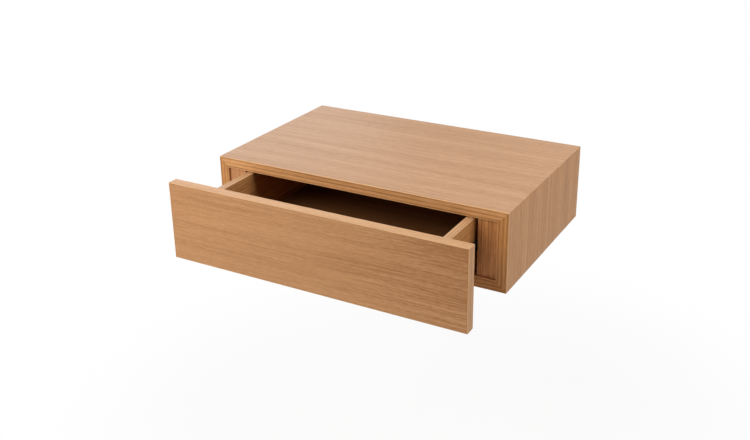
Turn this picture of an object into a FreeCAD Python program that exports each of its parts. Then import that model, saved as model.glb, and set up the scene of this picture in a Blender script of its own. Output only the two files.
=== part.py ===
import FreeCAD, Part
import math
import os

# Floating shelf with one drawer, in millimetres. +X is to the right, +Y goes into the wall, +Z is up.
# The origin is on the wall plane, at the middle of the wall rail's line of screw holes,
# which is also the middle of the shelf's width and height. The drawer is drawn part open.

Vector = FreeCAD.Vector

# overall sizes
shelf_width = 600.0
shelf_height = 150.0
shown_opening = 133.0  # from the carcass front to the back face of the drawer front

# carcass
panel_thickness = 20.0
edging_thickness = 2.0
arris_radius = 0.8
inner_arris_radius = 0.4
spline_width = 12.0
spline_thickness = 4.0
spline_front_stop = 22.0
spline_rear_stop = 12.0

# back panel, let into a rebate from behind
back_thickness = 16.0
rebate_depth = 10.0
back_screws_per_long_edge = 3
back_screw_end_share = 0.42  # of the width, from the middle to the outer screws

# filler stiles beside the drawer opening, and the battens behind them
stile_width = 37.0
stile_recess = 4.0
stile_thickness = 18.0
stile_drawer_gap = 6.0
batten_height = 60.0
batten_screw_offset = 21.0  # above and below the slide's centre line
batten_screw_shares = (0.12, 0.5, 0.88)  # along the batten, below and above the line in turn

# hanging rails
rail_thickness = 2.5
rail_play = 0.5
rail_end_inset = 30.0  # from the inner faces of the side panels
rail_web_height = 18.0
rail_hook_start = 10.0  # from the screw line to the underside of the wall rail's step
rail_hook_height = 12.0
wall_hole_radius = 2.75
wall_hole_count = 4
wall_hole_end_margin = 25.0  # from the rail's ends to the outer holes
rail_screw_shares = (-0.36, -0.12, 0.12, 0.36)  # of the rail's length, from its middle
rail_tip_radius = 0.6

# drawer front
front_side_inset = 3.0  # of the front's ends, from the outside of the carcass
front_thickness = 20.0
front_edging_thickness = 1.5
bumper_radius = 4.0
bumper_thickness = 1.5
bumper_inset = 10.0  # from the carcass edges, so that it lands in the middle of a panel's front edge
closed_clearance = 0.1

# drawer box
side_thickness = 15.0
side_past_slide = 10.4  # of the drawer sides, behind the rear end of the moving channels
side_top_clearance = 2.0  # under the carcass top
side_bottom_clearance = 4.0  # over the carcass bottom
bottom_thickness = 6.0
bottom_rise = 10.0  # from the lower edge of the sides to the bottom panel
groove_depth = 6.0
groove_play = 0.3
side_edge_radius = 1.0

# dowels
dowel_radius = 4.0
dowel_length = 30.0
dowel_blind_depth = 12.0  # into the drawer front and into the sides
dowel_chamfer = 0.8
dowel_end_play = 0.5
dowel_height_shares = (0.24, 0.54, 0.84)  # of the side's height, from its lower edge

# drawer slides
slide_length = 300.0
slide_height = 27.0
slide_width = 10.0
slide_steel = 1.0
slide_setback = 1.0  # behind the stile
slide_rear_room = 25.0  # between the fixed channels and the back panel
ball_radius = 1.5
ball_clearance = 0.25
ball_offset = 4.0  # from the face of the drawer side to the line of balls
outer_race_angles = (45.0, 150.0)
inner_race_angles = (225.0, 300.0)
bend_radius = 0.9
ball_pitch = 12.0
balls_per_row = 6
cage_steel = 0.4
cage_web_offset = 7.0  # from the face of the drawer side
cage_flange_overlap = 0.6  # of steel left outside each ball pocket
pocket_clearance = 0.05
lug_half_height = 4.0
lug_thickness = 1.2
lug_reach_past_cage = 0.5
stop_clearance = 0.3
slide_screw_shares = (0.15, 0.85)

# screws: head radius, head height, shank radius and length
slide_screw = (3.2, 1.9, 1.6, 12.0)
batten_screw = (4.0, 2.4, 2.0, 45.0)
back_screw = (3.5, 2.1, 1.75, 35.0)
rail_screw = (3.8, 2.3, 2.0, 16.0)
bottom_screw = (3.2, 1.9, 1.6, 25.0)
hole_clearance = 0.05
screw_tip_share = 0.15  # of the screw's length that tapers to the point
screw_point_share = 0.2  # of the shank's radius left at the point
bottom_screw_shares = (-0.7, 0.0, 0.7)

# small round pieces are drawn with flats, so that what repeats stays light
round_side_count = 10
ball_side_count = 8
ball_ring_angles = (-67.5, -22.5, 22.5, 67.5)

overrun = 5.0  # how far a cutting shape passes the faces that it cuts

# worked out from the sizes above
half_width = shelf_width / 2
half_height = shelf_height / 2
clear_half_width = half_width - panel_thickness
clear_half_height = half_height - panel_thickness
rail_length = 2 * (clear_half_width - rail_end_inset)
wall_hole_pitch = (rail_length - 2 * wall_hole_end_margin) / (wall_hole_count - 1)
stile_inner = clear_half_width - stile_width
box_half_width = stile_inner - stile_drawer_gap
slide_outer_face = box_half_width + slide_width

# from the wall forwards, the slide's length sets the depth of the carcass
rail_depth = 2 * rail_thickness + 2 * rail_play
back_rear = -rail_depth
back_front = back_rear - back_thickness
slide_front = back_front - slide_rear_room - slide_length
stile_rear = slide_front - slide_setback
stile_front = stile_rear - stile_thickness
carcass_front = stile_front - stile_recess
edging_back = carcass_front + edging_thickness

closed_gap = bumper_thickness + closed_clearance
closing_travel = shown_opening - closed_gap
front_rear = carcass_front - shown_opening
front_front = front_rear - front_thickness
front_half_width = half_width - front_side_inset
inner_slide_front = slide_front - closing_travel
box_rear = inner_slide_front + slide_length + side_past_slide
box_inner = box_half_width - side_thickness
side_top = clear_half_height - side_top_clearance
side_bottom = side_bottom_clearance - clear_half_height
side_height = side_top - side_bottom
floor_under = side_bottom + bottom_rise
floor_top = floor_under + bottom_thickness

# the cage is as long as its balls need, and with the two lugs it sets the slide's travel
cage_length = ball_pitch * balls_per_row
slide_overlap = cage_length + 2 * (lug_thickness + stop_clearance)
slide_travel = slide_length - slide_overlap
opening_travel = slide_travel - closing_travel
cage_front = slide_front + lug_thickness + stop_clearance + opening_travel / 2
race_inner = ball_radius + ball_clearance
race_outer = race_inner + slide_steel
ball_x = box_half_width + ball_offset
ball_z = slide_height / 2 - race_outer


def block(x0, x1, y0, y1, z0, z1):
    """A box between two corners."""
    return Part.makeBox(x1 - x0, y1 - y0, z1 - z0, Vector(x0, y0, z0))


def prism_along_y(outline, y0, y1):
    """A closed outline of X, Z pairs, carried from y0 to y1."""
    points = [Vector(x, y0, z) for x, z in outline]
    face = Part.Face(Part.makePolygon(points + points[:1]))
    return face.extrude(Vector(0, y1 - y0, 0))


def prism_along_x(outline, x0, x1):
    """A closed outline of Y, Z pairs, carried from x0 to x1."""
    points = [Vector(x0, y, z) for y, z in outline]
    face = Part.Face(Part.makePolygon(points + points[:1]))
    return face.extrude(Vector(x1 - x0, 0, 0))


def race_strip(centre_x, centre_z, angles, y0, y1):
    """A curved strip of slide steel round a line of balls, between two angles in degrees."""
    a0, a1 = (math.radians(angle) for angle in angles)

    def at(radius, angle):
        return Vector(centre_x + radius * math.cos(angle), y0, centre_z + radius * math.sin(angle))

    middle = (a0 + a1) / 2
    edges = [
        Part.Arc(at(race_inner, a0), at(race_inner, middle), at(race_inner, a1)).toShape(),
        Part.makeLine(at(race_inner, a1), at(race_outer, a1)),
        Part.Arc(at(race_outer, a1), at(race_outer, middle), at(race_outer, a0)).toShape(),
        Part.makeLine(at(race_outer, a0), at(race_inner, a0)),
    ]
    return Part.Face(Part.Wire(edges)).extrude(Vector(0, y1 - y0, 0))


def joined(shapes):
    """One solid from touching or overlapping shapes."""
    return shapes[0].fuse(shapes[1:]).removeSplitter()


def mirrored(shape):
    """The same piece on the left-hand side."""
    return shape.mirror(Vector(0, 0, 0), Vector(1, 0, 0))


def flipped(shape):
    """The same piece upside down about the slide's centre line."""
    return shape.mirror(Vector(0, 0, 0), Vector(0, 0, 1))


def edges_along(shape, direction, chosen):
    """Straight edges that run along a direction and whose middle passes a test."""
    found = []
    for edge in shape.Edges:
        ends = [vertex.Point for vertex in edge.Vertexes]
        if len(ends) == 2 and isinstance(edge.Curve, Part.Line):
            run = (ends[1] - ends[0]).normalize()
            if abs(run.dot(direction)) > math.cos(math.radians(1)) and chosen((ends[0] + ends[1]) / 2):
                found.append(edge)
    return found


def near(a, b):
    return abs(a - b) < hole_clearance


def turned(rings, sides, point, along):
    """A solid with flats round an axis, from rings given as pairs of distance along it and radius."""
    turn = FreeCAD.Rotation(Vector(0, 0, 1), along)
    corners = []
    for distance, radius in rings:
        angles = [2 * math.pi * (i + 1 / 2) / sides for i in range(sides)]
        ring = [Vector(radius * math.cos(a), radius * math.sin(a), distance) for a in angles]
        corners.append([point + turn.multVec(corner) for corner in ring])
    faces = [Part.Face(Part.makePolygon(ring + ring[:1])) for ring in (corners[0], corners[-1])]
    for low, high in zip(corners, corners[1:]):
        for i in range(sides):
            j = (i + 1) % sides
            faces.append(Part.Face(Part.makePolygon([low[i], low[j], high[j], high[i], low[i]])))
    solid = Part.Solid(Part.Shell(faces))
    if solid.Volume < 0:
        solid.reverse()
    return solid


def screw(kind, point, direction):
    """A countersunk screw with its head flush at the point."""
    head_radius, head_height, shank_radius, length = kind
    tip = length * screw_tip_share
    rings = [
        (0, head_radius), (head_height, shank_radius), (length - tip, shank_radius),
        (length, shank_radius * screw_point_share),
    ]
    return turned(rings, round_side_count, point, direction)


def screw_hole(kind, point, direction):
    """The countersunk hole that takes such a screw."""
    head_radius, head_height, shank_radius, length = kind
    wide = head_radius + hole_clearance
    narrow = shank_radius + hole_clearance
    rings = [(0, wide), (head_height, narrow), (length + hole_clearance, narrow)]
    return turned(rings, round_side_count, point, direction)


def screw_holes(kind, places, direction):
    return [screw_hole(kind, place, direction) for place in places]


def screws(kind, places, direction):
    return Part.makeCompound([screw(kind, place, direction) for place in places])


def dowel(point, along):
    """A fluted beech dowel with chamfered ends, from one end."""
    slim = dowel_radius - dowel_chamfer
    rings = [
        (0, slim), (dowel_chamfer, dowel_radius),
        (dowel_length - dowel_chamfer, dowel_radius), (dowel_length, slim),
    ]
    return turned(rings, round_side_count, point, along)


def dowel_hole(point, along):
    radius = dowel_radius + hole_clearance
    rings = [(-dowel_end_play, radius), (dowel_length + dowel_end_play, radius)]
    return turned(rings, round_side_count, point, along)


def ball(centre):
    """A bearing ball as a stack of rings inside its true sphere."""
    angles = [math.radians(angle) for angle in ball_ring_angles]
    rings = [(ball_radius * math.sin(a), ball_radius * math.cos(a)) for a in angles]
    return turned(rings, ball_side_count, centre, Vector(0, 0, 1))


def carcass_shell():
    """The whole box of the carcass before it is parted at the mitres and behind the edging."""
    shell = block(-half_width, half_width, carcass_front, 0, -half_height, half_height)
    long_edges = edges_along(shell, Vector(0, 1, 0), lambda middle: True)
    front_edges = [e for e in shell.Edges if near(e.CenterOfMass.y, carcass_front)]
    shell = shell.makeFillet(arris_radius, long_edges + front_edges)
    void = block(
        -clear_half_width, clear_half_width, carcass_front - overrun, overrun,
        -clear_half_height, clear_half_height,
    )
    rebate_x = clear_half_width + rebate_depth
    rebate_z = clear_half_height + rebate_depth
    rebate = block(-rebate_x, rebate_x, back_front, overrun, -rebate_z, rebate_z)
    shell = shell.cut([void, rebate])
    mouth = [
        e for e in shell.Edges
        if near(e.CenterOfMass.y, carcass_front)
        and abs(e.CenterOfMass.x) < clear_half_width + hole_clearance
        and abs(e.CenterOfMass.z) < clear_half_height + hole_clearance
    ]
    return shell.makeFillet(inner_arris_radius, mouth)


def mitre_wedge(upright):
    """The quarter of the carcass, cut at 45 degrees, that holds the top, or the right side if upright."""
    out_x = half_width + overrun
    out_z = half_height + overrun
    in_x = clear_half_width - overrun
    in_z = clear_half_height - overrun
    if upright:
        outline = [(out_x, out_z), (out_x, -out_z), (in_x, -in_z), (in_x, in_z)]
    else:
        outline = [(-out_x, out_z), (out_x, out_z), (in_x, in_z), (-in_x, in_z)]
    return prism_along_y(outline, carcass_front - overrun, overrun)


def mitre_spline():
    """A loose tongue across the mitre at the top right corner."""
    half_long = spline_width / 2
    half_thick = spline_thickness / 2
    y0 = carcass_front + spline_front_stop
    y1 = back_front - spline_rear_stop
    tongue = block(-half_long, half_long, y0, y1, -half_thick, half_thick)
    tongue.rotate(Vector(0, 0, 0), Vector(0, 1, 0), 45)
    tongue.translate(Vector(half_width - panel_thickness / 2, 0, half_height - panel_thickness / 2))
    return tongue


def back_screw_places():
    """Round the back panel, over the middle of the rebate's shoulder."""
    x_line = clear_half_width + rebate_depth / 2
    z_line = clear_half_height + rebate_depth / 2
    span = shelf_width * back_screw_end_share
    steps = back_screws_per_long_edge - 1
    places = [Vector(side * x_line, back_rear, 0) for side in (-1, 1)]
    for level in (-z_line, z_line):
        for i in range(back_screws_per_long_edge):
            places.append(Vector(span * (2 * i / steps - 1), back_rear, level))
    return places


def rail_screw_places():
    level = rail_hook_start + 2 * rail_thickness + rail_hook_height + rail_web_height / 2
    return [Vector(rail_length * share, back_rear + rail_thickness, level) for share in rail_screw_shares]


def batten_screw_places():
    """On the face of the right batten that looks at the drawer."""
    run = back_front - stile_rear
    return [
        Vector(slide_outer_face, stile_rear + run * share, batten_screw_offset * (-1) ** (i + 1))
        for i, share in enumerate(batten_screw_shares)
    ]


def slide_screw_places(x, front_end):
    return [Vector(x, front_end + slide_length * share, 0) for share in slide_screw_shares]


def make_carcass(parts):
    shell = carcass_shell()
    body = shell.common(block(
        -half_width - overrun, half_width + overrun, edging_back, overrun,
        -half_height - overrun, half_height + overrun,
    ))
    rim = shell.cut(body)
    tongue = mitre_spline()
    tongues = [tongue, mirrored(tongue), flipped(tongue), mirrored(flipped(tongue))]
    back_holes = screw_holes(back_screw, back_screw_places(), Vector(0, -1, 0))
    batten_holes = screw_holes(batten_screw, batten_screw_places(), Vector(1, 0, 0))

    over, beside = mitre_wedge(False), mitre_wedge(True)
    quarters = {
        "top": over, "bottom": flipped(over), "left": mirrored(beside), "right": beside,
    }
    names = {
        "top": "top_panel", "bottom": "bottom_panel",
        "left": "left_side_panel", "right": "right_side_panel",
    }
    for side, wedge in quarters.items():
        cutters = tongues + back_holes
        if side in ("left", "right"):
            cutters += [mirrored(h) for h in batten_holes] if side == "left" else batten_holes
        parts[names[side]] = body.common(wedge).cut(cutters)
        parts[side + "_edging"] = rim.common(wedge)
    parts["mitre_splines"] = Part.makeCompound(tongues)


def make_back(parts):
    back_x = clear_half_width + rebate_depth
    back_z = clear_half_height + rebate_depth
    panel = block(-back_x, back_x, back_front, back_rear, -back_z, back_z)
    holes = screw_holes(back_screw, back_screw_places(), Vector(0, -1, 0))
    holes += screw_holes(rail_screw, rail_screw_places(), Vector(0, -1, 0))
    parts["back_panel"] = panel.cut(holes)
    parts["back_panel_screws"] = screws(back_screw, back_screw_places(), Vector(0, -1, 0))


def make_rails(parts):
    """Two stepped rails that hook into each other: one on the wall, one on the back panel."""
    t = rail_thickness
    step_top = rail_hook_start + t
    hook_top = step_top + rail_hook_height
    lip_back = -(t + rail_play)
    wall_outline = [
        (0, -rail_web_height), (0, step_top), (lip_back, step_top), (lip_back, hook_top),
        (lip_back - t, hook_top), (lip_back - t, rail_hook_start),
        (-t, rail_hook_start), (-t, -rail_web_height),
    ]
    hang_lip = -rail_play / 2
    web_back = back_rear + t
    top = hook_top + t + rail_web_height
    hang_outline = [
        (back_rear, hook_top), (back_rear, top), (web_back, top), (web_back, hook_top + t),
        (hang_lip, hook_top + t), (hang_lip, step_top + rail_play), (hang_lip - t, step_top + rail_play),
        (hang_lip - t, hook_top),
    ]
    half = rail_length / 2
    wall_rail = prism_along_x(wall_outline, -half, half)
    hang_rail = prism_along_x(hang_outline, -half, half)
    wall_tips = edges_along(
        wall_rail, Vector(1, 0, 0), lambda p: near(p.z, hook_top) or near(p.z, -rail_web_height)
    )
    hang_tips = edges_along(
        hang_rail, Vector(1, 0, 0), lambda p: near(p.z, step_top + rail_play) or near(p.z, top)
    )
    wall_rail = wall_rail.makeFillet(rail_tip_radius, wall_tips)
    hang_rail = hang_rail.makeFillet(rail_tip_radius, hang_tips)
    first = -wall_hole_pitch * (wall_hole_count - 1) / 2
    bores = [
        Part.makeCylinder(
            wall_hole_radius, t + 2 * overrun,
            Vector(first + i * wall_hole_pitch, -t - overrun, 0), Vector(0, 1, 0),
        )
        for i in range(wall_hole_count)
    ]
    parts["wall_rail"] = wall_rail.cut(bores)
    parts["carcass_rail"] = hang_rail.cut(screw_holes(rail_screw, rail_screw_places(), Vector(0, -1, 0)))
    parts["carcass_rail_screws"] = screws(rail_screw, rail_screw_places(), Vector(0, -1, 0))


def make_stiles_and_battens(parts):
    stile = block(stile_inner, clear_half_width, stile_front, stile_rear, -clear_half_height, clear_half_height)
    corner = edges_along(stile, Vector(0, 0, 1), lambda p: near(p.x, stile_inner) and near(p.y, stile_front))
    stile = stile.makeFillet(inner_arris_radius, corner)
    batten = block(
        slide_outer_face, clear_half_width, stile_rear, back_front, -batten_height / 2, batten_height / 2
    )
    holes = screw_holes(batten_screw, batten_screw_places(), Vector(1, 0, 0))
    web_inner = slide_outer_face - slide_steel
    holes += screw_holes(slide_screw, slide_screw_places(web_inner, slide_front), Vector(1, 0, 0))
    batten = batten.cut(holes)
    parts["right_stile"], parts["left_stile"] = stile, mirrored(stile)
    parts["right_runner_batten"], parts["left_runner_batten"] = batten, mirrored(batten)
    fixings = screws(batten_screw, batten_screw_places(), Vector(1, 0, 0))
    parts["batten_screws"] = Part.makeCompound([fixings, mirrored(fixings)])


def outer_member():
    """The channel fixed to the batten: web, two flanges and a raceway rolled into each flange."""
    y0, y1 = slide_front, slide_front + slide_length
    reach = race_inner * math.cos(math.radians(outer_race_angles[0]))
    flange_under = ball_z + race_inner * math.sin(math.radians(outer_race_angles[0]))
    flange_top = flange_under + slide_steel
    web_inner = slide_outer_face - slide_steel
    flange = block(ball_x + reach, slide_outer_face, y0, y1, flange_under, flange_top)
    race = race_strip(ball_x, ball_z, outer_race_angles, y0, y1)
    half = joined([flange, race])
    web = block(web_inner, slide_outer_face, y0, y1, -flange_top, flange_top)
    channel = joined([web, half, flipped(half)])
    bends = edges_along(
        channel, Vector(0, 1, 0), lambda p: near(p.x, slide_outer_face) and near(abs(p.z), flange_top)
    )
    channel = channel.makeFillet(bend_radius, bends)
    lug_tip = box_half_width + cage_web_offset - lug_reach_past_cage
    lug = block(lug_tip, web_inner, y0, y0 + lug_thickness, -lug_half_height, lug_half_height)
    window_end = y0 + lug_thickness + (web_inner - lug_tip)
    window = block(
        web_inner - overrun, slide_outer_face + overrun, y0 + lug_thickness, window_end,
        -lug_half_height, lug_half_height,
    )
    holes = screw_holes(slide_screw, slide_screw_places(web_inner, y0), Vector(1, 0, 0))
    return joined([channel, lug]).cut([window] + holes)


def inner_member(y0):
    """The channel fixed to the drawer side, which the balls carry from inside the outer channel."""
    y1 = y0 + slide_length
    reach = -race_inner * math.cos(math.radians(inner_race_angles[0]))
    flange_top = ball_z + race_inner * math.sin(math.radians(inner_race_angles[0]))
    web_outer = box_half_width + slide_steel
    flange = block(box_half_width, ball_x - reach, y0, y1, flange_top - slide_steel, flange_top)
    race = race_strip(ball_x, ball_z, inner_race_angles, y0, y1)
    half = joined([flange, race])
    web = block(box_half_width, web_outer, y0, y1, -flange_top, flange_top)
    channel = joined([web, half, flipped(half)])
    bends = edges_along(
        channel, Vector(0, 1, 0), lambda p: near(p.x, box_half_width) and near(abs(p.z), flange_top)
    )
    channel = channel.makeFillet(bend_radius, bends)
    lug_tip = box_half_width + cage_web_offset + cage_steel + lug_reach_past_cage
    lug = block(web_outer, lug_tip, y1 - lug_thickness, y1, -lug_half_height, lug_half_height)
    window_start = y1 - lug_thickness - (lug_tip - web_outer)
    window = block(
        box_half_width - overrun, web_outer + overrun, window_start, y1 - lug_thickness,
        -lug_half_height, lug_half_height,
    )
    holes = screw_holes(slide_screw, slide_screw_places(web_outer, y0), Vector(-1, 0, 0))
    return joined([channel, lug]).cut([window] + holes)


def ball_places():
    """Centres of the balls on the right-hand slide."""
    return [
        Vector(ball_x, cage_front + ball_pitch * (i + 1 / 2), level)
        for level in (-ball_z, ball_z)
        for i in range(balls_per_row)
    ]


def ball_cage():
    """A thin channel between the two members, with a pocket for each ball in its flanges."""
    y0, y1 = cage_front, cage_front + cage_length
    web_x = box_half_width + cage_web_offset
    flange_x = ball_x - ball_radius - pocket_clearance - cage_flange_overlap
    half_steel = cage_steel / 2
    top = ball_z + half_steel
    web = block(web_x, web_x + cage_steel, y0, y1, -top, top)
    flange = block(flange_x, web_x + cage_steel, y0, y1, ball_z - half_steel, top)
    channel = joined([web, flange, flipped(flange)])
    pocket_radius = ball_radius + pocket_clearance
    pocket_rings = [(-cage_steel, pocket_radius), (cage_steel, pocket_radius)]
    pockets = [turned(pocket_rings, ball_side_count, place, Vector(0, 0, 1)) for place in ball_places()]
    return channel.cut(pockets)


def make_slides(parts):
    """Both ball-bearing slides, each with its fixed channel, moving channel, cage and balls."""
    outer = outer_member()
    inner = inner_member(inner_slide_front)
    cage = ball_cage()
    balls = Part.makeCompound([ball(place) for place in ball_places()])
    members = {"slide_outer": outer, "slide_inner": inner, "slide_cage": cage, "slide_balls": balls}
    for name, shape in members.items():
        parts["right_" + name] = shape
        parts["left_" + name] = mirrored(shape)
    fixed_places = slide_screw_places(slide_outer_face - slide_steel, slide_front)
    moving_places = slide_screw_places(box_half_width + slide_steel, inner_slide_front)
    fixed = screws(slide_screw, fixed_places, Vector(1, 0, 0))
    moving = screws(slide_screw, moving_places, Vector(-1, 0, 0))
    parts["slide_outer_screws"] = Part.makeCompound([fixed, mirrored(fixed)])
    parts["slide_inner_screws"] = Part.makeCompound([moving, mirrored(moving)])


def dowel_places(start):
    """Front ends of the dowels in the right side, at three heights."""
    x = box_half_width - side_thickness / 2
    return [Vector(x, start, side_bottom + side_height * share) for share in dowel_height_shares]


def back_dowel_places():
    """Inner ends of the dowels between the drawer back and the right side."""
    y = box_rear - side_thickness / 2
    x = box_inner + dowel_blind_depth - dowel_length
    return [Vector(x, y, side_bottom + side_height * share) for share in dowel_height_shares[1:]]


def make_drawer_front(parts):
    slab = block(-front_half_width, front_half_width, front_front, front_rear, -half_height, half_height)
    front_edges = [e for e in slab.Edges if near(e.CenterOfMass.y, front_front)]
    ends = edges_along(slab, Vector(0, 1, 0), lambda p: True)
    slab = slab.makeFillet(arris_radius, front_edges + ends)
    t = front_edging_thickness
    far_x = front_half_width + overrun
    far_z = half_height + overrun
    y0, y1 = front_front - overrun, front_rear + overrun
    top_zone = block(-far_x, far_x, y0, y1, half_height - t, far_z)
    right_zone = block(front_half_width - t, far_x, y0, y1, t - half_height, half_height - t)
    zones = {
        "front_top_edging": top_zone, "front_bottom_edging": flipped(top_zone),
        "front_left_edging": mirrored(right_zone), "front_right_edging": right_zone,
    }
    for name, zone in zones.items():
        parts[name] = slab.common(zone)
    groove_x = box_inner + groove_depth
    groove = block(
        -groove_x, groove_x, front_rear - groove_depth, front_rear + overrun, floor_under, floor_top
    )
    holes = [dowel_hole(place, Vector(0, 1, 0)) for place in dowel_places(front_rear - dowel_blind_depth)]
    holes += [mirrored(hole) for hole in holes]
    parts["drawer_front"] = slab.cut(list(zones.values()) + [groove] + holes)

    pads = []
    for x in (bumper_inset - half_width, half_width - bumper_inset):
        for z in (bumper_inset - half_height, half_height - bumper_inset):
            rings = [(0, bumper_radius), (bumper_thickness, bumper_radius)]
            pads.append(turned(rings, round_side_count, Vector(x, front_rear, z), Vector(0, 1, 0)))
    parts["front_bumpers"] = Part.makeCompound(pads)


def make_drawer_box(parts):
    side = block(box_inner, box_half_width, front_rear, box_rear, side_bottom, side_top)
    upper = edges_along(side, Vector(0, 1, 0), lambda p: near(p.z, side_top))
    side = side.makeFillet(side_edge_radius, upper)
    groove = block(
        box_inner - overrun, box_inner + groove_depth, front_rear - overrun, box_rear + overrun,
        floor_under, floor_top,
    )
    into_side, into_back = Vector(0, 1, 0), Vector(1, 0, 0)
    front_places = dowel_places(front_rear - dowel_blind_depth)
    front_dowels = [dowel(place, into_side) for place in front_places]
    front_holes = [dowel_hole(place, into_side) for place in front_places]
    back_dowels = [dowel(place, into_back) for place in back_dowel_places()]
    back_holes = [dowel_hole(place, into_back) for place in back_dowel_places()]

    slide_holes = screw_holes(
        slide_screw, slide_screw_places(box_half_width + slide_steel, inner_slide_front), Vector(-1, 0, 0)
    )
    side = side.cut([groove] + front_holes + back_holes + slide_holes)
    parts["drawer_right_side"] = side
    parts["drawer_left_side"] = mirrored(side)
    parts["front_dowels"] = Part.makeCompound(front_dowels + [mirrored(d) for d in front_dowels])
    parts["back_dowels"] = Part.makeCompound(back_dowels + [mirrored(d) for d in back_dowels])

    floor_half = box_inner + groove_depth - groove_play
    floor_front = front_rear - groove_depth + groove_play
    floor = block(-floor_half, floor_half, floor_front, box_rear, floor_under, floor_top)
    screw_line = box_rear - side_thickness / 2
    floor_places = [Vector(box_inner * share, screw_line, floor_under) for share in bottom_screw_shares]
    floor_holes = screw_holes(bottom_screw, floor_places, Vector(0, 0, 1))
    parts["drawer_bottom"] = floor.cut(floor_holes)
    back = block(-box_inner, box_inner, box_rear - side_thickness, box_rear, floor_top, side_top)
    back_upper = edges_along(back, Vector(1, 0, 0), lambda p: near(p.z, side_top))
    back = back.makeFillet(side_edge_radius, back_upper)
    parts["drawer_back"] = back.cut(floor_holes + back_holes + [mirrored(hole) for hole in back_holes])
    parts["drawer_bottom_screws"] = screws(bottom_screw, floor_places, Vector(0, 0, 1))


def main():
    parts = {}
    makers = (
        make_carcass, make_back, make_rails, make_stiles_and_battens, make_slides, make_drawer_front,
        make_drawer_box,
    )
    for make in makers:
        make(parts)
    os.makedirs("parts", exist_ok=True)
    for name, shape in parts.items():
        shape.exportStep("parts/" + name + ".step")
        print(name, len(shape.Solids), "solids,", round(shape.Volume), "mm3, valid", shape.isValid())
    print("slide travel", slide_travel, "opens", opening_travel, "closes", closing_travel)


main()
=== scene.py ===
import math

import bpy
import numpy as np
from mathutils import Matrix, Vector


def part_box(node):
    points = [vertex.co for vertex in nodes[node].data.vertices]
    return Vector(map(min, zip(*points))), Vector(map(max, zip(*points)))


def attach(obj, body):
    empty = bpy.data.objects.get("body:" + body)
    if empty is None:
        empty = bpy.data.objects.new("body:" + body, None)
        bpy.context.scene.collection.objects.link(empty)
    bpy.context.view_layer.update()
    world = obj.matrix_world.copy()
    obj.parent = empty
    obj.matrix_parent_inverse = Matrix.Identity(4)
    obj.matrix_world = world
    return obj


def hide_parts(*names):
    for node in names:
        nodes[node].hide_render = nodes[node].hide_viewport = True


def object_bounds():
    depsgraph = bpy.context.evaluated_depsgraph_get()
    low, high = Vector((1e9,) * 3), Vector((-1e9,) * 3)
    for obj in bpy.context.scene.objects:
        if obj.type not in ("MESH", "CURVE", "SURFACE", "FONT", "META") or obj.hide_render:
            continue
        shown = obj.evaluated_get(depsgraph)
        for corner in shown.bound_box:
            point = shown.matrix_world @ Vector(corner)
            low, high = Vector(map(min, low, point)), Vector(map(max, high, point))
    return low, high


# metres, as in the frame: +X is to the right, +Y goes into the wall and +Z is up
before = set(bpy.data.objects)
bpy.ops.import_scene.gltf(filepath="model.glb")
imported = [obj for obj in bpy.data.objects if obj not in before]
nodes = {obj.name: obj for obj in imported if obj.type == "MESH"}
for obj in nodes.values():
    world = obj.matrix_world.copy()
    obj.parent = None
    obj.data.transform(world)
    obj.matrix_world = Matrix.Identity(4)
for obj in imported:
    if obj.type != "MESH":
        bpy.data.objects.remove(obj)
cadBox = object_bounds()
print("frame loaded,", len(nodes), "nodes")


def srgb(red, green, blue):
    # a colour as a screen shows it, 0 to 255, as the linear light that shaders work in
    shares = [c / 255 for c in (red, green, blue)]
    return [c / 12.92 if c <= 0.04045 else ((c + 0.055) / 1.055) ** 2.4 for c in shares] + [1.0]


class Wire:
    # one value that runs through a shader; arithmetic on it adds Math nodes
    def __init__(self, shading, socket):
        self.shading = shading
        self.socket = socket

    def __add__(self, other):
        return self.shading.maths("ADD", self, other)

    def __radd__(self, other):
        return self.shading.maths("ADD", other, self)

    def __sub__(self, other):
        return self.shading.maths("SUBTRACT", self, other)

    def __rsub__(self, other):
        return self.shading.maths("SUBTRACT", other, self)

    def __mul__(self, other):
        return self.shading.maths("MULTIPLY", self, other)

    def __rmul__(self, other):
        return self.shading.maths("MULTIPLY", other, self)

    def __truediv__(self, other):
        return self.shading.maths("DIVIDE", self, other)

    def __rtruediv__(self, other):
        return self.shading.maths("DIVIDE", other, self)

    def __gt__(self, other):
        return self.shading.maths("GREATER_THAN", self, other)

    def __lt__(self, other):
        return self.shading.maths("LESS_THAN", self, other)

    def __abs__(self):
        return self.shading.maths("ABSOLUTE", self)


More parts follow.
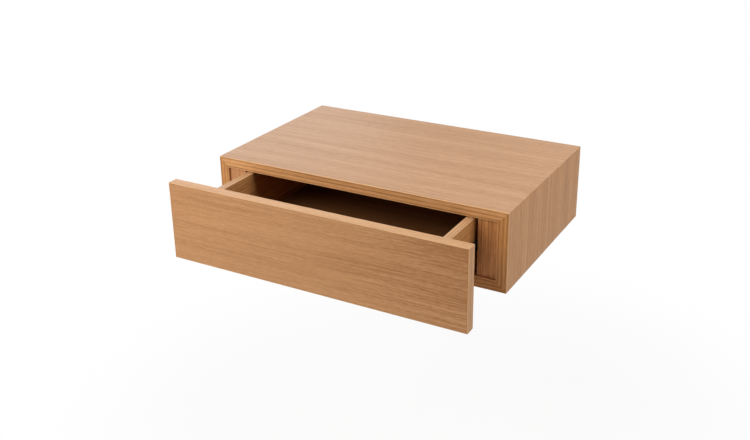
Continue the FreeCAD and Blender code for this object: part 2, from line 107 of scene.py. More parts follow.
class Shading:
    # the nodes of a material or of the world: calls add them, and wires carry their values
    def __init__(self, owner):
        owner.use_nodes = True
        self.tree = owner.node_tree
        self.tree.nodes.clear()

    def node(self, kind, settings=None, sockets=None, out=0):
        # any node: its settings come first, then the numbers or wires of its sockets.
        # It gives the wire of one output, or a list of wires where out is a tuple
        made = self.tree.nodes.new(kind)
        for name, value in (settings or {}).items():
            setattr(made, name, value)
        for name, value in (sockets or {}).items():
            if isinstance(value, Wire):
                self.tree.links.new(value.socket, made.inputs[name])
            else:
                made.inputs[name].default_value = value
        if isinstance(out, tuple):
            return [Wire(self, made.outputs[name]) for name in out]
        return Wire(self, made.outputs[out])

    def maths(self, operation, *values):
        return self.node("ShaderNodeMath", {"operation": operation}, dict(enumerate(values)))

    def clamp(self, value):
        return self.node("ShaderNodeClamp", {}, {"Value": value})

    def rise(self, value, low, high):
        # 0 up to low, 1 from high, and a smooth rise between them
        return self.node(
            "ShaderNodeMapRange", {"interpolation_type": "SMOOTHSTEP"},
            {"Value": value, "From Min": low, "From Max": high},
        )

    def fade(self, distance, width, coreShare):
        # 1 up to a share of the width, 0 from the width, and a smooth fall between them
        return 1 - self.rise(distance, width * coreShare, width)

    def mix(self, share, a, b):
        return self.node("ShaderNodeMix", {"data_type": "RGBA"}, {0: share, 6: a, 7: b}, 2)

    def noise(self, along, across, depth, detail=2.0, roughness=0.5):
        point = self.node("ShaderNodeCombineXYZ", {}, {"X": along, "Y": across, "Z": depth})
        return self.node(
            "ShaderNodeTexNoise", {},
            {"Vector": point, "Scale": 1.0, "Detail": detail, "Roughness": roughness},
        )

    def streaks(self, place, length, width, detail=2.0, roughness=0.5):
        # noise with one length along the first of three ways and one width along the others
        along, across, depth = place
        return self.noise(along / length, across / width, depth / width, detail, roughness)

    def bump(self, height, distance):
        return self.node("ShaderNodeBump", {}, {"Height": height, "Distance": distance}, "Normal")


class Finish(Shading):
    # one material, with the object's own coordinates at hand
    def __init__(self, name):
        self.material = bpy.data.materials.new(name)
        super().__init__(self.material)
        place = self.node("ShaderNodeTexCoord", out="Object")
        self.x, self.y, self.z = self.node(
            "ShaderNodeSeparateXYZ", {}, {"Vector": place}, ("X", "Y", "Z")
        )

    def ways(self, axes):
        return [getattr(self, axis) for axis in axes]

    def surface(self, **sockets):
        names = {
            "color": "Base Color", "roughness": "Roughness", "metallic": "Metallic",
            "normal": "Normal", "gloss": "Specular IOR Level",
        }
        values = {names[key]: value for key, value in sockets.items()}
        shader = self.node("ShaderNodeBsdfPrincipled", {}, values)
        self.node("ShaderNodeOutputMaterial", {}, {"Surface": shader}, ())
        return self.material


def dress(material, *names):
    for name in names:
        mesh = nodes[name].data
        mesh.materials.clear()
        mesh.materials.append(material)


# wood: the grain runs along the first of its axes and starts at its own shift. Lengths and widths are
# in metres, and a gain is a share of the way from the dark to the light colour
oak = {
    "light": srgb(208, 154, 102), "dark": srgb(168, 114, 66), "pore": srgb(120, 74, 38),
    "axes": "xyz", "shift": 0.0,
    "bandLength": 0.9, "bandWidth": 0.030, "bandGain": 0.7,
    "lineLength": 0.28, "lineWidth": 0.0042, "lineGain": 1.5,
    "threadLength": 0.035, "threadWidth": 0.0011, "threadGain": 0.7,
    "figureLength": 0.016, "figureWidth": 0.0034, "figureGain": 0.55,
    "wander": 0.010, "wanderLength": 0.5, "wanderWidth": 0.125,
    "ripple": 0.0012, "rippleLength": 0.07, "rippleStretch": 3,
    "poreLength": 0.007, "poreWidth": 0.00032, "poreFrom": 0.60, "poreTo": 0.74, "poreShare": 0.42,
    "crowdLength": 0.2, "crowdWidthInLines": 1.7, "crowdFrom": 0.42, "crowdTo": 0.62, "sparseShare": 0.35,
    "roughness": 0.46, "poreRoughness": 0.25, "toneRoughness": 0.05,
    "relief": 0.00006, "toneReliefShare": 0.35, "gloss": 0.18,
}
# the four kinds of streak: detail and roughness of their noise
streakNoise = {"band": (2.0, 0.5), "line": (3.0, 0.6), "thread": (2.0, 0.5), "figure": (1.0, 0.5)}
middle = 0.5  # the mean of a noise, and the tone halfway between dark and light


def woodGrain(finish, look):
    # the tone and the pores of a face of wood: streaks are noise drawn out along the grain,
    # and two slower noises bend them sideways. Pores crowd in long strips
    along, across, depth = finish.ways(look["axes"])
    along = along + look["shift"]
    place = along, across, depth
    wander = finish.streaks(place, look["wanderLength"], look["wanderWidth"])
    wander = (wander - middle) * look["wander"]
    ripple = finish.streaks(place, look["rippleLength"], look["rippleLength"] / look["rippleStretch"])
    ripple = (ripple - middle) * look["ripple"]
    place = along, across + wander + ripple, depth + wander
    tone = middle
    for kind, (detail, roughness) in streakNoise.items():
        streak = finish.streaks(place, look[kind + "Length"], look[kind + "Width"], detail, roughness)
        tone = tone + (streak - middle) * look[kind + "Gain"]
    pores = finish.streaks(place, look["poreLength"], look["poreWidth"], 1.0)
    pores = finish.rise(pores, look["poreFrom"], look["poreTo"])
    crowd = finish.streaks(place, look["crowdLength"], look["lineWidth"] * look["crowdWidthInLines"], 1.0)
    crowd = finish.rise(crowd, look["crowdFrom"], look["crowdTo"])
    pores = pores * (look["sparseShare"] + crowd * (1 - look["sparseShare"]))
    return finish.clamp(tone), pores


def woodColor(finish, tone, pores, look):
    color = finish.mix(tone, look["dark"], look["light"])
    return finish.mix(pores * look["poreShare"], color, look["pore"])


def woodSurface(finish, color, tone, pores, look):
    roughness = look["roughness"] + pores * look["poreRoughness"] - tone * look["toneRoughness"]
    normal = finish.bump(tone * look["toneReliefShare"] - pores, look["relief"])
    return finish.surface(color=color, roughness=roughness, normal=normal, gloss=look["gloss"])


def plainWood(name, look):
    finish = Finish(name)
    tone, pores = woodGrain(finish, look)
    return woodSurface(finish, woodColor(finish, tone, pores, look), tone, pores, look)


# eased edges: a pale band, partly wear where the finish is thin, partly painted highlight
arris = {"color": srgb(234, 186, 134), "width": 0.0011, "coreShare": 0.3, "share": 0.55}


def wornAndHighlitArris(finish, color, distance):
    # painted highlight and wear: paler within a small width of the edge
    wornAndHighlit = finish.fade(distance, arris["width"], arris["coreShare"])
    return finish.mix(wornAndHighlit * arris["share"], color, arris["color"])


# carcass panels, measured in the frame
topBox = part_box("top_panel")
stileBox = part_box("right_stile")
panel = {
    "thickness": topBox[1].z - stileBox[1].z, "rear": topBox[1].y,
    "innerX": stileBox[1].x, "innerZ": stileBox[1].z,
}

# their board cores, which show where a panel is cut through at the wall
core = {
    "light": srgb(206, 170, 124), "dark": srgb(160, 118, 76), "veneer": 0.0006, "sawMark": 0.0001,
    "flakeLength": 0.0022, "flakeDepth": 1 / 900, "flakeHeight": 0.0022 / 1.6,
    "detail": 3.0, "roughness": 0.7, "paleFrom": 0.38, "paleTo": 0.62,
}


def depthInPanel(finish, look):
    # how far a point lies outside a panel's inner face. Upright panels carry their grain along z
    if look["axes"][0] == "z":
        return abs(finish.x) - panel["innerX"]
    return abs(finish.z) - panel["innerZ"]


def cutBoard(finish, color, depth):
    # pressed flakes between two veneers, on faces that lie at the rear plane
    flakes = finish.noise(
        finish.x / core["flakeLength"], finish.y / core["flakeDepth"], finish.z / core["flakeHeight"],
        core["detail"], core["roughness"],
    )
    cut = finish.mix(finish.rise(flakes, core["paleFrom"], core["paleTo"]), core["dark"], core["light"])
    inside = (depth > core["veneer"]) * (depth < panel["thickness"] - core["veneer"])
    return finish.mix(inside * (finish.y > panel["rear"] - core["sawMark"]), color, cut)


def veneerPanel(name, look):
    finish = Finish(name)
    tone, pores = woodGrain(finish, look)
    color = cutBoard(finish, woodColor(finish, tone, pores, look), depthInPanel(finish, look))
    return woodSurface(finish, color, tone, pores, look)


# the leaf on the top is a little paler and whiter than the others: painted sheen, for the light the top
# catches
topOakPaintedSheen = dict(
    oak, light=srgb(212, 167, 128), dark=srgb(177, 132, 96),
    bandGain=0.8, lineWidth=0.0052, lineGain=1.0, gloss=0.13,
)
bottomOak = dict(oak, shift=3.1)
sideOak = dict(oak, axes="zyx", shift=1.7, lineGain=1.4)
dress(veneerPanel("oakTopVeneerPaintedSheen", topOakPaintedSheen), "top_panel")
dress(veneerPanel("oakBottomVeneer", bottomOak), "bottom_panel")
dress(veneerPanel("oakSideVeneer", sideOak), "left_side_panel", "right_side_panel")

# the lipping round the front edges, ringed like slow-grown oak, with its rings parallel to the edge:
# a dark line starts each ring, and the wood fades from pale to plain towards the next
lipping = dict(
    oak, axes="zxy", shift=2.2, light=srgb(218, 158, 98), dark=srgb(178, 117, 62), ring=srgb(124, 76, 38),
    ringStart=0.0034, ringPitch=0.0074, ringWidth=0.0023, ringCoreShare=0.3, ringShare=0.56,
    ringFade=0.5, ringDarkening=0.2, sway=0.0024, swayLength=0.2, swayWidth=1 / 90,
    faintLength=1 / 9, faintWidth=1 / 110, faintFrom=0.3, faintTo=0.65, faintShare=0.35,
    bandGain=0.5, lineWidth=0.0022, lineGain=1.2, wander=0.0012, ripple=0.0003,
)
levelLipping = dict(lipping, axes="xzy", shift=0.4)
# painted light and shade: the top lipping is paler, as it catches the light, and the bottom one darker,
# as it lies in shade
litTopLipping = dict(
    levelLipping, light=srgb(238, 180, 122), dark=srgb(194, 135, 79), ring=srgb(134, 86, 46),
)
shadedBottomLipping = dict(
    levelLipping, light=srgb(208, 146, 84), dark=srgb(168, 107, 53), ring=srgb(118, 70, 33),
)


def lippedEdge(name, look):
    finish = Finish(name)
    tone, pores = woodGrain(finish, look)
    along = finish.ways(look["axes"])[0]
    depth = depthInPanel(finish, look)
    sway = finish.noise(along / look["swayLength"] + look["shift"], depth / look["swayWidth"], 0.0)
    place = (depth + (sway - middle) * look["sway"] - look["ringStart"]) / look["ringPitch"]
    pale = (1 - finish.maths("FRACT", place)) * look["ringFade"]
    color = woodColor(finish, finish.clamp(tone + pale - look["ringDarkening"]), pores, look)
    # half a ring is added and taken off again, so that the distance counts to both sides of a line
    distance = abs(finish.maths("FRACT", place + 0.5) - 0.5) * look["ringPitch"]
    ring = finish.fade(distance, look["ringWidth"], look["ringCoreShare"])
    strong = finish.noise(along / look["faintLength"], depth / look["faintWidth"], look["shift"], 1.0)
    strong = finish.rise(strong, look["faintFrom"], look["faintTo"])
    ring = ring * (look["faintShare"] + strong * (1 - look["faintShare"]))
    color = finish.mix(ring * look["ringShare"], color, look["ring"])
    # painted highlight and wear along both long edges of the lipping
    color = wornAndHighlitArris(finish, color, panel["thickness"] - depth)
    return woodSurface(finish, wornAndHighlitArris(finish, color, depth), tone, pores, look)


dress(lippedEdge("oakLippingTopPaintedLight", litTopLipping), "top_edging")
dress(lippedEdge("oakLippingBottomPaintedShade", shadedBottomLipping), "bottom_edging")
dress(lippedEdge("oakLippingUpright", lipping), "left_edging", "right_edging")
print("carcass panels and lippings finished")

# filler stiles: the right one has an open, redder grain and is darker as painted shade; the left is
# calmer and paler as painted light
shadedOpenStileOak = dict(
    oak, axes="zxy", shift=5.3, light=srgb(216, 153, 96), dark=srgb(142, 87, 46), pore=srgb(88, 48, 22),
    lineWidth=0.0040, lineGain=1.7, threadLength=0.16, threadWidth=0.0016, threadGain=1.6, poreShare=0.6,
)
litCalmStileOak = dict(
    shadedOpenStileOak, shift=6.4, light=srgb(212, 156, 106), dark=srgb(172, 118, 74),
    lineGain=1.5, threadGain=0.8, poreShare=0.35,
)
dress(plainWood("oakStileOpenPaintedShade", shadedOpenStileOak), "right_stile")
dress(plainWood("oakStileCalmPaintedLight", litCalmStileOak), "left_stile")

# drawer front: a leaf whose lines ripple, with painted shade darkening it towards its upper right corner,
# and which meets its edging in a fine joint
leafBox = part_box("drawer_front")
frontOak = dict(
    oak, axes="xzy", shift=7.9, light=srgb(207, 154, 107), dark=srgb(167, 114, 70),
    bandGain=0.9, lineWidth=0.0038, lineGain=2.0, poreShare=0.5,
    figureLength=0.012, figureWidth=0.0024, figureGain=0.95,
    wander=0.016, ripple=0.0050, rippleLength=0.035,
    evenTone=0.62, calmShare=0.62, paintedFalloffFrom=-0.05, paintedFalloffTo=0.32, paintedFalloffHalfHeight=0.09, paintedFalloffGain=0.55,
    joint=srgb(122, 78, 42), jointWidth=0.0009, jointCoreShare=0.4, jointShare=0.7,
)


def frontVeneer():
    finish = Finish("oakFrontVeneer")
    tone, pores = woodGrain(finish, frontOak)
    across = finish.rise(finish.x, frontOak["paintedFalloffFrom"], frontOak["paintedFalloffTo"])
    upwards = finish.clamp((finish.z / frontOak["paintedFalloffHalfHeight"] + 1) * 0.5)
    contrast = frontOak["calmShare"] + across * (1 - frontOak["calmShare"])
    # painted shade: the leaf darker towards the right and the top, where less light falls
    paintedFalloff = across * upwards * frontOak["paintedFalloffGain"]
    tone = finish.clamp((tone - middle) * contrast + frontOak["evenTone"] - paintedFalloff)
    color = woodColor(finish, tone, pores, frontOak)
    inset = finish.maths("MINIMUM", leafBox[1].x - abs(finish.x), leafBox[1].z - abs(finish.z))
    joint = finish.fade(inset, frontOak["jointWidth"], frontOak["jointCoreShare"])
    color = finish.mix(joint * frontOak["jointShare"], color, frontOak["joint"])
    return woodSurface(finish, color, tone, pores, frontOak)


# its edging, eased at the front face
levelEdgeOak = dict(
    oak, shift=9.1, light=srgb(222, 172, 124), dark=srgb(184, 134, 88), lineWidth=0.003, wander=0.002,
)
uprightEdgeOak = dict(
    levelEdgeOak, axes="zyx", shift=9.6, light=srgb(214, 160, 110), dark=srgb(170, 120, 76), lineGain=2.0,
)


def frontEdge(name, look):
    finish = Finish(name)
    tone, pores = woodGrain(finish, look)
    # painted highlight and wear along the edge at the front face
    color = wornAndHighlitArris(finish, woodColor(finish, tone, pores, look), finish.y - leafBox[0].y)
    return woodSurface(finish, color, tone, pores, look)


dress(frontVeneer(), "drawer_front")
dress(frontEdge("oakFrontEdgingLevel", levelEdgeOak), "front_top_edging", "front_bottom_edging")
dress(frontEdge("oakFrontEdgingUpright", uprightEdgeOak), "front_left_edging", "front_right_edging")

# drawer sides: the top edge is banded in paler wood, with two soft dark rings along it.
# The rings' places and widths are shares of the side's thickness, from its inner face
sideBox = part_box("drawer_right_side")
boxOak = dict(
    oak, axes="yxz", shift=11.3, light=srgb(202, 147, 91), dark=srgb(152, 100, 54), lineWidth=0.0034,
    banding=srgb(234, 192, 150), bandingDepth=0.0009, bandingCoreShare=0.5, bandingShare=0.48,
    ring=srgb(150, 98, 52), ringShares=(0.44, 0.80), ringHalfShare=0.16, ringCoreShare=0.35,
    ringStrength=0.5,
)


def drawerSide():
    finish = Finish("oakDrawerSide")
    tone, pores = woodGrain(finish, boxOak)
    banded = finish.fade(sideBox[1].z - finish.z, boxOak["bandingDepth"], boxOak["bandingCoreShare"])
    color = woodColor(finish, tone, pores, boxOak)
    color = finish.mix(banded * boxOak["bandingShare"], color, boxOak["banding"])
    place = (abs(finish.x) - sideBox[0].x) / (sideBox[1].x - sideBox[0].x)
    near, far = (
        finish.fade(abs(place - share), boxOak["ringHalfShare"], boxOak["ringCoreShare"])
        for share in boxOak["ringShares"]
    )
    color = finish.mix(banded * (near + far) * boxOak["ringStrength"], color, boxOak["ring"])
    return woodSurface(finish, color, tone, pores, boxOak)


# drawer floor: plywood, whose glue lines show on its edges at every layer, darkened as painted shade for
# the dim drawer
ply = dict(
    oak, shift=18.4, light=srgb(134, 91, 53), dark=srgb(98, 62, 34), poreShare=0.25,
    layer=0.0012, glue=srgb(84, 52, 28), glueShare=0.5, seamHalfShare=0.16, seamCoreShare=0.3125,
)


def plywood(name, under):
    finish = Finish(name)
    tone, pores = woodGrain(finish, ply)
    place = finish.maths("FRACT", (finish.z - under) / ply["layer"] - 0.5)
    seam = finish.fade(0.5 - abs(place - 0.5), ply["seamHalfShare"], ply["seamCoreShare"])
    color = finish.mix(seam * ply["glueShare"], woodColor(finish, tone, pores, ply), ply["glue"])
    return woodSurface(finish, color, tone, pores, ply)


pine = dict(
    oak, axes="yzx", shift=16.8, light=srgb(226, 196, 150), dark=srgb(196, 156, 108),
    pore=srgb(170, 126, 80), lineWidth=0.005, poreShare=0.15, roughness=0.62,
)
dress(drawerSide(), "drawer_left_side", "drawer_right_side")
dress(plainWood("oakDrawerBack", dict(boxOak, axes="xyz", shift=12.7)), "drawer_back")
dress(plainWood("oakBackPanel", dict(oak, axes="xzy", shift=14.2, lineGain=1.2)), "back_panel")
dress(plainWood("battenPine", pine), "left_runner_batten", "right_runner_batten")
dress(plywood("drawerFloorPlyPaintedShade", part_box("drawer_bottom")[0].z), "drawer_bottom")
dress(plainWood("splineBirch", dict(pine, axes="yxz", shift=19.9)), "mitre_splines")
print("drawer wood finished")

# metals, brushed or rolled: scratches are noise drawn out along the first axis
metal = {
    "axes": "yzx", "metallic": 1.0, "gloss": 0.5, "shade": 0.82,
    "scratchLength": 0.05, "scratchDetail": 3.0, "scratchHarshness": 0.6,
    "scratchFrom": 0.3, "scratchTo": 0.7, "scratchRoughness": 0.1,
    "smudgeSize": 0.025, "smudgeRoughness": 0.25,
}
blackSteel = dict(
    metal, color=srgb(28, 26, 25), metallic=0.0, gloss=0.3, roughness=0.5,
    scratchWidth=0.0006, relief=0.00001,
)
cageZinc = dict(metal, color=srgb(170, 172, 176), roughness=0.38, scratchWidth=0.0005, relief=0.00001)
aluminium = dict(
    metal, axes="xzy", color=srgb(196, 198, 202), roughness=0.36, scratchWidth=0.0004, relief=0.00002,
)
screwZinc = dict(
    metal, axes="zxy", color=srgb(188, 186, 178), roughness=0.32, scratchWidth=0.0003, relief=0.000005,
)
ballSteel = dict(
    metal, axes="xyz", color=srgb(206, 208, 212), roughness=0.12, scratchWidth=0.002, relief=0.000002,
)


def metalFinish(name, look):
    finish = Finish(name)
    scratch = finish.streaks(
        finish.ways(look["axes"]), look["scratchLength"], look["scratchWidth"],
        look["scratchDetail"], look["scratchHarshness"],
    )
    smudge = finish.streaks(finish.ways("xyz"), look["smudgeSize"], look["smudgeSize"])
    shade = [c * look["shade"] for c in look["color"][:3]] + [1.0]
    color = finish.mix(finish.rise(scratch, look["scratchFrom"], look["scratchTo"]), shade, look["color"])
    roughness = look["roughness"] + (smudge - middle) * look["smudgeRoughness"]
    return finish.surface(
        color=color, roughness=roughness + (scratch - middle) * look["scratchRoughness"],
        metallic=look["metallic"], normal=finish.bump(scratch, look["relief"]), gloss=look["gloss"],
    )


dress(
    metalFinish("slideBlackSteel", blackSteel),
    "left_slide_outer", "right_slide_outer", "left_slide_inner", "right_slide_inner",
)
dress(metalFinish("cageZinc", cageZinc), "left_slide_cage", "right_slide_cage")
dress(metalFinish("railAluminium", aluminium), "wall_rail", "carcass_rail")
screwMetal = metalFinish("screwZinc", screwZinc)
ballMetal = metalFinish("ballSteel", ballSteel)
print("metals finished")


def fullTurn(sides):
    return np.linspace(0, 2 * math.pi, sides, endpoint=False)


def turnedSurface(radius, angle, distance, point, direction):
    # rings round an axis that starts at a point and runs in a direction: radius * (cos a, sin a) and
    # the distance along the axis. Quads join ring to ring, and a fan closes each end
    turn = np.array(Vector((0, 0, 1)).rotation_difference(Vector(direction)).to_matrix())
    rings = np.stack([radius * np.cos(angle), radius * np.sin(angle), distance], -1) @ turn.T
    rings = rings + np.array(point)
    count, sides = rings.shape[:2]
    i, j = np.meshgrid(np.arange(count - 1), np.arange(sides), indexing="ij")
    k = (j + 1) % sides
    quads = np.stack([i * sides + j, i * sides + k, (i + 1) * sides + k, (i + 1) * sides + j], -1)
    side = np.arange(sides)
    after = (side + 1) % sides
    last = (count - 1) * sides + 1
    start = np.stack([np.zeros_like(side), after + 1, side + 1], -1)
    end = np.stack([np.full_like(side, count * sides + 1), last + side, last + after], -1)
    places = np.vstack([rings[0].mean(0)[None], rings.reshape(-1, 3), rings[-1].mean(0)[None]])
    return places, quads.reshape(-1, 4) + 1, np.vstack([start, end])


def newPiece(name, surfaces, material, body, replaced):
    places, faces, used = [], [], 0
    for surfacePlaces, quads, fans in surfaces:
        places.append(surfacePlaces)
        faces += (quads + used).tolist() + (fans + used).tolist()
        used += len(surfacePlaces)
    mesh = bpy.data.meshes.new(name)
    mesh.from_pydata(np.vstack(places).tolist(), [], faces)
    mesh.polygons.foreach_set("use_smooth", np.ones(len(mesh.polygons), bool))
    mesh.update()
    mesh.materials.append(material)
    piece = bpy.data.objects.new(name, mesh)
    bpy.context.scene.collection.objects.link(piece)
    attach(piece, body)
    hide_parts(replaced)


alongWeight = 0.3


def solidsOf(node, axis, reach):
    # the separate solids of a node, as pairs of lowest and highest corner. Corners belong together
    # within a reach of the first, where distances along the axis count for less
    corners = np.array([v.co for v in nodes[node].data.vertices])
    weight = np.ones(3)
    weight[axis] = alongWeight
    found = []
    while len(corners):
        mine = np.linalg.norm((corners - corners[0]) * weight, axis=1) < reach
        found.append((corners[mine].min(0), corners[mine].max(0)))
        corners = corners[~mine]
    return found


# countersunk wood screws with a cross recess. Shares are of the head's radius and depth for the head,
# and of the length below the head for the thread
screw = {
    "sides": 36, "faceRings": 12, "faceShares": (0.06, 0.97),
    "rimShares": ((0.99, 0.0), (1.0, 0.02), (1.0, 0.10)), "recessShare": 0.62,
    "armWidthShare": 0.15, "armLengthShare": 0.62, "armWallShare": 0.06, "armPower": 0.6,
    "pitch": 0.0018, "rowsPerTurn": 6, "coreShare": 0.72, "ridgePower": 1.4, "plainShare": 0.12,
    "runInShare": 1 / 12, "tipShare": 0.18, "tipEndShare": 0.02, "tipPower": 0.7, "groupReach": 0.017,
}
# name, node and body; radius and depth of the head, radius of the shank; way from the head into the wood
screwGroups = (
    ("backPanelScrews", "back_panel_screws", "carcass", 0.0035, 0.0021, 0.00175, (0, -1, 0)),
    ("hangingRailScrews", "carcass_rail_screws", "carcass", 0.0038, 0.0023, 0.0020, (0, -1, 0)),
    ("battenScrews", "batten_screws", "carcass", 0.0040, 0.0024, 0.0020, (1, 0, 0)),
    ("fixedChannelScrews", "slide_outer_screws", "carcass", 0.0032, 0.0019, 0.0016, (1, 0, 0)),
    ("movingChannelScrews", "slide_inner_screws", "drawer", 0.0032, 0.0019, 0.0016, (-1, 0, 0)),
    ("drawerFloorScrews", "drawer_bottom_screws", "drawer", 0.0032, 0.0019, 0.0016, (0, 0, 1)),
)


def screwSurface(head, headDepth, shank, length, point, direction):
    # face: radius r over angle a, sunk by a cross of two arms that fades towards their ends.
    # side: cone down to the shank, then radius = core + ridge * (distance from a helix) to a power,
    # drawn in to a point over the last part of the length
    a = fullTurn(screw["sides"])
    faceRadii = np.linspace(*screw["faceShares"], screw["faceRings"]) * head
    r, angle = np.meshgrid(faceRadii, a, indexing="ij")
    arms = np.stack([np.abs(r * np.cos(angle)), np.abs(r * np.sin(angle))])
    beside, along = arms.min(0), arms.max(0)
    armWall = (head * screw["armWidthShare"] - beside) / (head * screw["armWallShare"]) + 0.5
    armFloor = np.clip(1 - along / (head * screw["armLengthShare"]), 0, 1) ** screw["armPower"]
    face = np.clip(armWall, 0, 1) * armFloor * headDepth * screw["recessShare"]
    rows = int((length - headDepth) / screw["pitch"] * screw["rowsPerTurn"])
    t, turnAngle = np.meshgrid(np.linspace(0, 1, rows), a, indexing="ij")
    down = headDepth + t * (length - headDepth)
    phase = down / screw["pitch"] - turnAngle / (2 * math.pi)
    ridge = np.abs(2 * (phase - np.floor(phase)) - 1) ** screw["ridgePower"]
    threaded = np.clip((t - screw["plainShare"]) / screw["runInShare"], 0, 1)
    coreRadius = shank * (1 - threaded * (1 - screw["coreShare"]))
    taper = np.clip((1 - t) / screw["tipShare"], screw["tipEndShare"], 1) ** screw["tipPower"]
    side = (coreRadius + (shank - coreRadius) * ridge) * taper
    rim = np.array(screw["rimShares"])
    rimRadius = np.repeat(rim[:, :1] * head, len(a), 1)
    rimDown = np.repeat(rim[:, 1:] * headDepth, len(a), 1)
    radius = np.vstack([r, rimRadius, side])
    return turnedSurface(radius, a, np.vstack([face, rimDown, down]), point, direction)


def screwGroup(name, node, body, head, headDepth, shank, direction):
    # where the direction is sideways, it turns with the side of the shelf
    axis = int(np.argmax(np.abs(direction)))
    surfaces = []
    for low, high in solidsOf(node, axis, screw["groupReach"]):
        point = (low + high) / 2
        way = np.array(direction, float)
        if axis == 0:
            way = way * math.copysign(1, point[0])
        point[axis] = low[axis] if way[axis] > 0 else high[axis]
        surfaces.append(screwSurface(head, headDepth, shank, high[axis] - low[axis], point, way))
    newPiece(name, surfaces, screwMetal, body, node)


for group in screwGroups:
    screwGroup(*group)
print("screws made")

# fluted dowels. Each pair of chamfer shares is a distance from the end and a loss of radius
dowel = {
    "sides": 80, "radius": 0.004, "flutes": 20, "fluteDepth": 0.00022,
    "chamfer": 0.0008, "chamferShares": ((0, 1), (0.5, 0.35), (1, 0)), "groupReach": 0.015,
}
beech = dict(pine, axes="yxz", shift=21.3, light=srgb(222, 186, 146), lineWidth=0.002)


def dowelSurface(low, high, axis):
    # radius = full radius less a shallow cosine flute, drawn in at both ends
    length = high[axis] - low[axis]
    fromEnd, loss = np.array(dowel["chamferShares"]).T * dowel["chamfer"]
    distance = np.concatenate([fromEnd, length - fromEnd[::-1]])
    loss = np.concatenate([loss, loss[::-1]])
    a = fullTurn(dowel["sides"])
    flute = dowel["fluteDepth"] * (1 + np.cos(a * dowel["flutes"])) / 2
    radius = dowel["radius"] - loss[:, None] - flute[None]
    point = (low + high) / 2
    point[axis] = low[axis]
    distance = np.broadcast_to(distance[:, None], radius.shape)
    return turnedSurface(radius, a, distance, point, np.eye(3)[axis])


dowelBeech = plainWood("dowelBeech", beech)
for name, node, axis in (("frontDowels", "front_dowels", 1), ("backDowels", "back_dowels", 0)):
    made = [dowelSurface(low, high, axis) for low, high in solidsOf(node, axis, dowel["groupReach"])]
    newPiece(name, made, dowelBeech, "drawer", node)

# balls of the slides
bearing = {"radius": 0.0015, "sides": 24, "rings": 13, "groupReach": 0.004}


def ballSurface(centre):
    # radius * (cos b cos a, cos b sin a, sin b)
    b = np.linspace(-math.pi / 2, math.pi / 2, bearing["rings"] + 2)[1:-1]
    up, around = np.meshgrid(b, fullTurn(bearing["sides"]), indexing="ij")
    ring = bearing["radius"] * np.cos(up)
    return turnedSurface(ring, around, bearing["radius"] * np.sin(up), centre, (0, 0, 1))


for side in ("left", "right"):
    node = side + "_slide_balls"
    made = [ballSurface((low + high) / 2) for low, high in solidsOf(node, 2, bearing["groupReach"])]
    newPiece(side + "SlideBalls", made, ballMetal, side + "_cage", node)

# soft clear bumpers on the back of the drawer front
bumper = {
    "sides": 48, "rings": 14, "flatShare": 0.25, "groupReach": 0.012,
    "light": srgb(226, 225, 220), "dark": srgb(206, 204, 198), "cloudSize": 1 / 700, "cloudDetail": 3.0,
    "roughness": 0.32, "cloudRoughness": 0.15, "relief": 0.00001,
}


def bumperSurface(low, high):
    # a dome: height = thickness * sin b, radius = half width * (flat share + (1 - flat share) * cos b)
    b = np.linspace(0, math.pi / 2, bumper["rings"])
    ring = (high[2] - low[2]) / 2 * (bumper["flatShare"] + (1 - bumper["flatShare"]) * np.cos(b))
    ring, around = np.meshgrid(ring, fullTurn(bumper["sides"]), indexing="ij")
    height = np.broadcast_to(((high[1] - low[1]) * np.sin(b))[:, None], ring.shape)
    point = (low + high) / 2
    point[1] = low[1]
    return turnedSurface(ring, around, height, point, (0, 1, 0))


def bumperRubber():
    finish = Finish("bumperRubber")
    size = bumper["cloudSize"]
    cloud = finish.streaks(finish.ways("xyz"), size, size, bumper["cloudDetail"])
    return finish.surface(
        color=finish.mix(cloud, bumper["dark"], bumper["light"]),
        roughness=bumper["roughness"] + cloud * bumper["cloudRoughness"],
        normal=finish.bump(cloud, bumper["relief"]),
    )


made = [bumperSurface(low, high) for low, high in solidsOf("front_bumpers", 1, bumper["groupReach"])]
newPiece("drawerBumpers", made, bumperRubber(), "drawer", "front_bumpers")
print("dowels, balls and bumpers made")

# floor and backdrop: white to the camera and in reflections, with the shelf's soft shadow on the floor,
# which clears with the distance from the shelf
pureWhite = (1, 1, 1, 1)
stage = {
    "drop": 0.62, "size": 14.0, "paint": srgb(236, 236, 236),
    "shadowShare": 0.11, "clearFrom": 0.35, "clearTo": 1.1,
}
ambient = {"color": (1.0, 0.985, 0.965, 1.0), "strength": 0.04}


def seenRays(shading):
    # 1 for what the camera sees, directly, in a reflection or through glass
    camera, glossy, through = shading.node(
        "ShaderNodeLightPath", out=("Is Camera Ray", "Is Glossy Ray", "Is Transmission Ray")
    )
    return shading.maths("MAXIMUM", camera, shading.maths("MAXIMUM", glossy, through))


def floorFinish():
    finish = Finish("stageFloor")
    lit = finish.node("ShaderNodeBsdfDiffuse", {}, {"Color": stage["paint"]})
    glow = finish.node("ShaderNodeEmission", {}, {"Color": pureWhite, "Strength": 1.0})
    away = finish.maths("SQRT", finish.x * finish.x + finish.y * finish.y)
    clear = finish.rise(away, stage["clearFrom"], stage["clearTo"])
    share = seenRays(finish) * (1 - stage["shadowShare"] * (1 - clear))
    blend = finish.node("ShaderNodeMixShader", {}, {0: share, 1: lit, 2: glow})
    finish.node("ShaderNodeOutputMaterial", {}, {"Surface": blend}, ())
    return finish.material


half = stage["size"] / 2
level = cadBox[0].z - stage["drop"]
corners = [(-half, -half, level), (half, -half, level), (half, half, level), (-half, half, level)]
floorMesh = bpy.data.meshes.new("stageFloor")
floorMesh.from_pydata(corners, [], [(0, 1, 2, 3)])
floorMesh.materials.append(floorFinish())
floor = bpy.data.objects.new("stageFloor", floorMesh)
bpy.context.scene.collection.objects.link(floor)

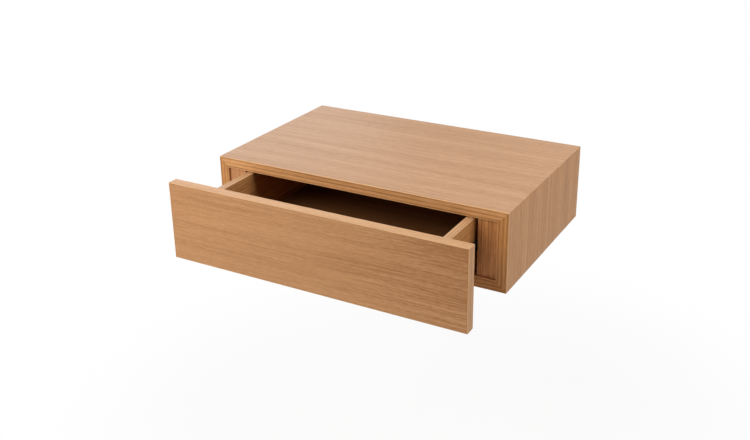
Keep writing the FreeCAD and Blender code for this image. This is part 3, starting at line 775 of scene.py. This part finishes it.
world = bpy.data.worlds.new("studio")
bpy.context.scene.world = world
sky = Shading(world)
soft = sky.node("ShaderNodeBackground", {}, {"Color": ambient["color"], "Strength": ambient["strength"]})
white = sky.node("ShaderNodeBackground", {}, {"Color": pureWhite, "Strength": 1.0})
blend = sky.node("ShaderNodeMixShader", {}, {0: seenRays(sky), 1: soft, 2: white})
sky.node("ShaderNodeOutputWorld", {}, {"Surface": blend}, ())

# soft boxes: place, size in metres, and power in watts; each looks at the shelf
softBoxes = {
    "frontBox": {"place": (-0.5, -2.2, 1.8), "size": 1.2, "power": 28},
    "keyBox": {"place": (-1.05, -1.75, 1.1), "size": 0.9, "power": 13},
    "lowBox": {"place": (-1.3, -1.7, 0.25), "size": 0.7, "power": 7},
    "topBox": {"place": (1.2, -0.3, 1.8), "size": 0.8, "power": 8},
    "rearTopBox": {"place": (0.3, 1.2, 1.75), "size": 1.2, "power": 15},
    "sideBox": {"place": (2.1, -0.2, 1.1), "size": 1.0, "power": 20},
    "backBox": {"place": (-1.8, 1.6, 0.6), "size": 1.4, "power": 12},
}
aim = Vector((0, -0.25, 0))
for name, box in softBoxes.items():
    lamp = bpy.data.lights.new(name, "AREA")
    lamp.shape = "SQUARE"
    lamp.size = box["size"]
    lamp.energy = box["power"]
    lampObject = bpy.data.objects.new(name, lamp)
    lampObject.location = box["place"]
    lampObject.rotation_euler = (aim - Vector(box["place"])).to_track_quat("-Z", "Y").to_euler()
    bpy.context.scene.collection.objects.link(lampObject)
print("stage and lights set")

# camera: seen from the right and above, worked out from the shelf's corners in the picture
view = {
    "place": (0.8289, -1.7442, 0.7174), "azimuth": 29.682, "elevation": 21.692, "roll": -0.857,
    "lens": 46.234, "sensor": 36.0, "shiftY": -0.0533,
}
azimuth, elevation, roll = (math.radians(view[key]) for key in ("azimuth", "elevation", "roll"))
back = Vector((
    math.sin(azimuth) * math.cos(elevation), -math.cos(azimuth) * math.cos(elevation), math.sin(elevation)
))
right = Vector((0, 0, 1)).cross(back).normalized()
up = back.cross(right)
turnedRight = right * math.cos(roll) + up * math.sin(roll)
turnedUp = up * math.cos(roll) - right * math.sin(roll)
turn = Matrix((turnedRight, turnedUp, back)).transposed()
cameraData = bpy.data.cameras.new("camera")
cameraData.lens = view["lens"]
cameraData.sensor_width = view["sensor"]
cameraData.shift_y = view["shiftY"]
camera = bpy.data.objects.new("camera", cameraData)
camera.matrix_world = Matrix.Translation(view["place"]) @ turn.to_4x4()
bpy.context.scene.collection.objects.link(camera)
bpy.context.scene.camera = camera
bpy.context.scene.view_settings.view_transform = "Standard"
print("camera set")
